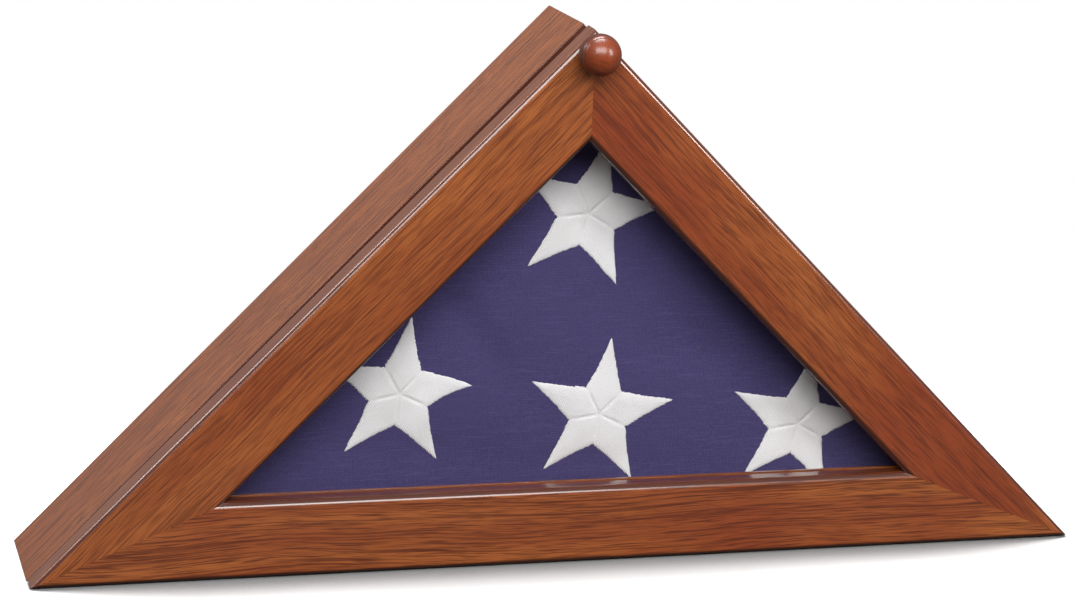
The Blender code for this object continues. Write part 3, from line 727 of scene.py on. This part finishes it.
# --- Stage --------------------------------------------------------------------------------------
def make_camera():
    data = bpy.data.cameras.new("camera")
    data.lens = CAMERA_LENS
    data.sensor_width = 36
    data.clip_start, data.clip_end = 0.1, 50
    camera = bpy.data.objects.new("camera", data)
    bpy.context.scene.collection.objects.link(camera)
    back = Vector((
        -math.sin(CAMERA_AZIMUTH) * math.cos(CAMERA_ELEVATION),
        -math.cos(CAMERA_AZIMUTH) * math.cos(CAMERA_ELEVATION),
        math.sin(CAMERA_ELEVATION),
    ))
    right = (-back).cross(Vector((0, 0, 1))).normalized()
    up = right.cross(-back)
    rolled_right = right * math.cos(CAMERA_ROLL) + up * math.sin(CAMERA_ROLL)
    rolled_up = up * math.cos(CAMERA_ROLL) - right * math.sin(CAMERA_ROLL)
    turn = Matrix((rolled_right, rolled_up, back)).transposed().to_4x4()
    aim = Vector((AIM_X, CASE_FRONT, AIM_Z))
    camera.matrix_world = Matrix.Translation(aim + back * CAMERA_DISTANCE) @ turn
    bpy.context.scene.camera = camera


FLOOR_HALF = 3.0
FLOOR_SHADE_REACH = 0.070  # how far from the case the floor is shaded
FLOOR_PALE, FLOOR_DARK = (0.95, 0.95, 0.95), (0.06, 0.055, 0.05)
FLOOR_CORE = (("X", 0.34), ("Y", 0.06))  # the half sizes of the part that isn't faded
FADE_START, FADE_END = 0.12, 0.40  # beyond that part


def make_floor():
    """A floor that looks pale, shaded close to the case, and fades into the white background.

    For all rays but the camera's it is dark, so that it isn't mirrored in the varnish.
    """
    mesh = bpy.data.meshes.new("floor")
    half = FLOOR_HALF
    corners = [(-half, -half, 0), (half, -half, 0), (half, half, 0), (-half, half, 0)]
    mesh.from_pydata(corners, [], [(0, 1, 2, 3)])
    floor = bpy.data.objects.new("floor", mesh)
    floor.location.z = -CLEAR
    bpy.context.scene.collection.objects.link(floor)
    look = Shading("white_paper")
    near = look.add("ShaderNodeAmbientOcclusion", {"Distance": FLOOR_SHADE_REACH}, samples=12)
    shade = look.ranged(near.outputs["AO"], 0.5, 1.0, 0.24, 1.0, smooth=False)
    pale = look.mixed(shade, (0, 0, 0), FLOOR_PALE)
    seen = look.add("ShaderNodeLightPath").outputs["Is Camera Ray"]
    place = look.add("ShaderNodeSeparateXYZ", {0: look.place})
    beyond = []
    for axis, reach in FLOOR_CORE:
        size = look.maths("ABSOLUTE", place.outputs[axis])
        beyond.append(look.maths("MAXIMUM", look.maths("SUBTRACT", size, reach), 0.0))
    flat = look.add("ShaderNodeCombineXYZ", {"X": beyond[0], "Y": beyond[1]})
    away = look.add("ShaderNodeVectorMath", {0: flat.outputs[0]}, operation="LENGTH").outputs["Value"]
    look.surface(
        Base_Color=look.mixed(seen, FLOOR_DARK, pale),
        Roughness=0.9,
        Specular_IOR_Level=0.0,
        Alpha=look.ranged(away, FADE_START, FADE_END, 1.0, 0.0),
    )
    mesh.materials.append(look.material)


def make_world():
    """White where the camera sees it, and for all else a dim studio with a paler back wall."""
    world = bpy.data.worlds.new("studio")
    world.use_nodes = True
    tree = world.node_tree
    seen = tree.nodes["Background"]
    seen.inputs["Color"].default_value = (1, 1, 1, 1)
    studio = tree.nodes.new("ShaderNodeBackground")
    direction = tree.nodes.new("ShaderNodeTexCoord")
    lean = tree.nodes.new("ShaderNodeVectorMath")
    lean.operation = "DOT_PRODUCT"
    lean.inputs[1].default_value = (0, 0.8, 0.6)
    level = tree.nodes.new("ShaderNodeMapRange")
    for name, value in (("From Min", -0.5), ("From Max", 0.9), ("To Min", 0.08), ("To Max", 0.34)):
        level.inputs[name].default_value = value
    path = tree.nodes.new("ShaderNodeLightPath")
    mix = tree.nodes.new("ShaderNodeMixShader")
    tree.links.new(direction.outputs["Generated"], lean.inputs[0])
    tree.links.new(lean.outputs["Value"], level.inputs["Value"])
    tree.links.new(level.outputs[0], studio.inputs["Strength"])
    tree.links.new(path.outputs["Is Camera Ray"], mix.inputs[0])
    tree.links.new(studio.outputs[0], mix.inputs[1])
    tree.links.new(seen.outputs[0], mix.inputs[2])
    tree.links.new(mix.outputs[0], tree.nodes["World Output"].inputs["Surface"])
    bpy.context.scene.world = world
    bpy.context.scene.view_settings.view_transform = "Standard"


LIGHT_AIM = Vector((0, 0, 0.15))
# Each light: its name, its place, its width and height, and its power in watts
LIGHTS = (
    ("front", (-0.35, -1.9, 1.65), (2.4, 1.2), 80),
    ("key", (1.5, -1.4, 1.0), (0.45, 0.9), 24),
    ("left", (-1.6, 0.9, 1.4), (0.5, 0.8), 11),
    ("top", (0, 0.30, 2.4), (1.4, 0.6), 50),
)


def make_lights():
    for name, place, size, power in LIGHTS:
        data = bpy.data.lights.new(name, "AREA")
        data.shape = "RECTANGLE"
        data.size, data.size_y = size
        data.energy = power
        light = bpy.data.objects.new(name, data)
        light.location = place
        light.rotation_euler = (LIGHT_AIM - Vector(place)).to_track_quat("-Z", "Y").to_euler()
        bpy.context.scene.collection.objects.link(light)


make_camera()
make_world()
make_lights()
make_floor()
make_members()
finish_nodes()
make_knob()
make_flag(flag_cloth())
make_stars()
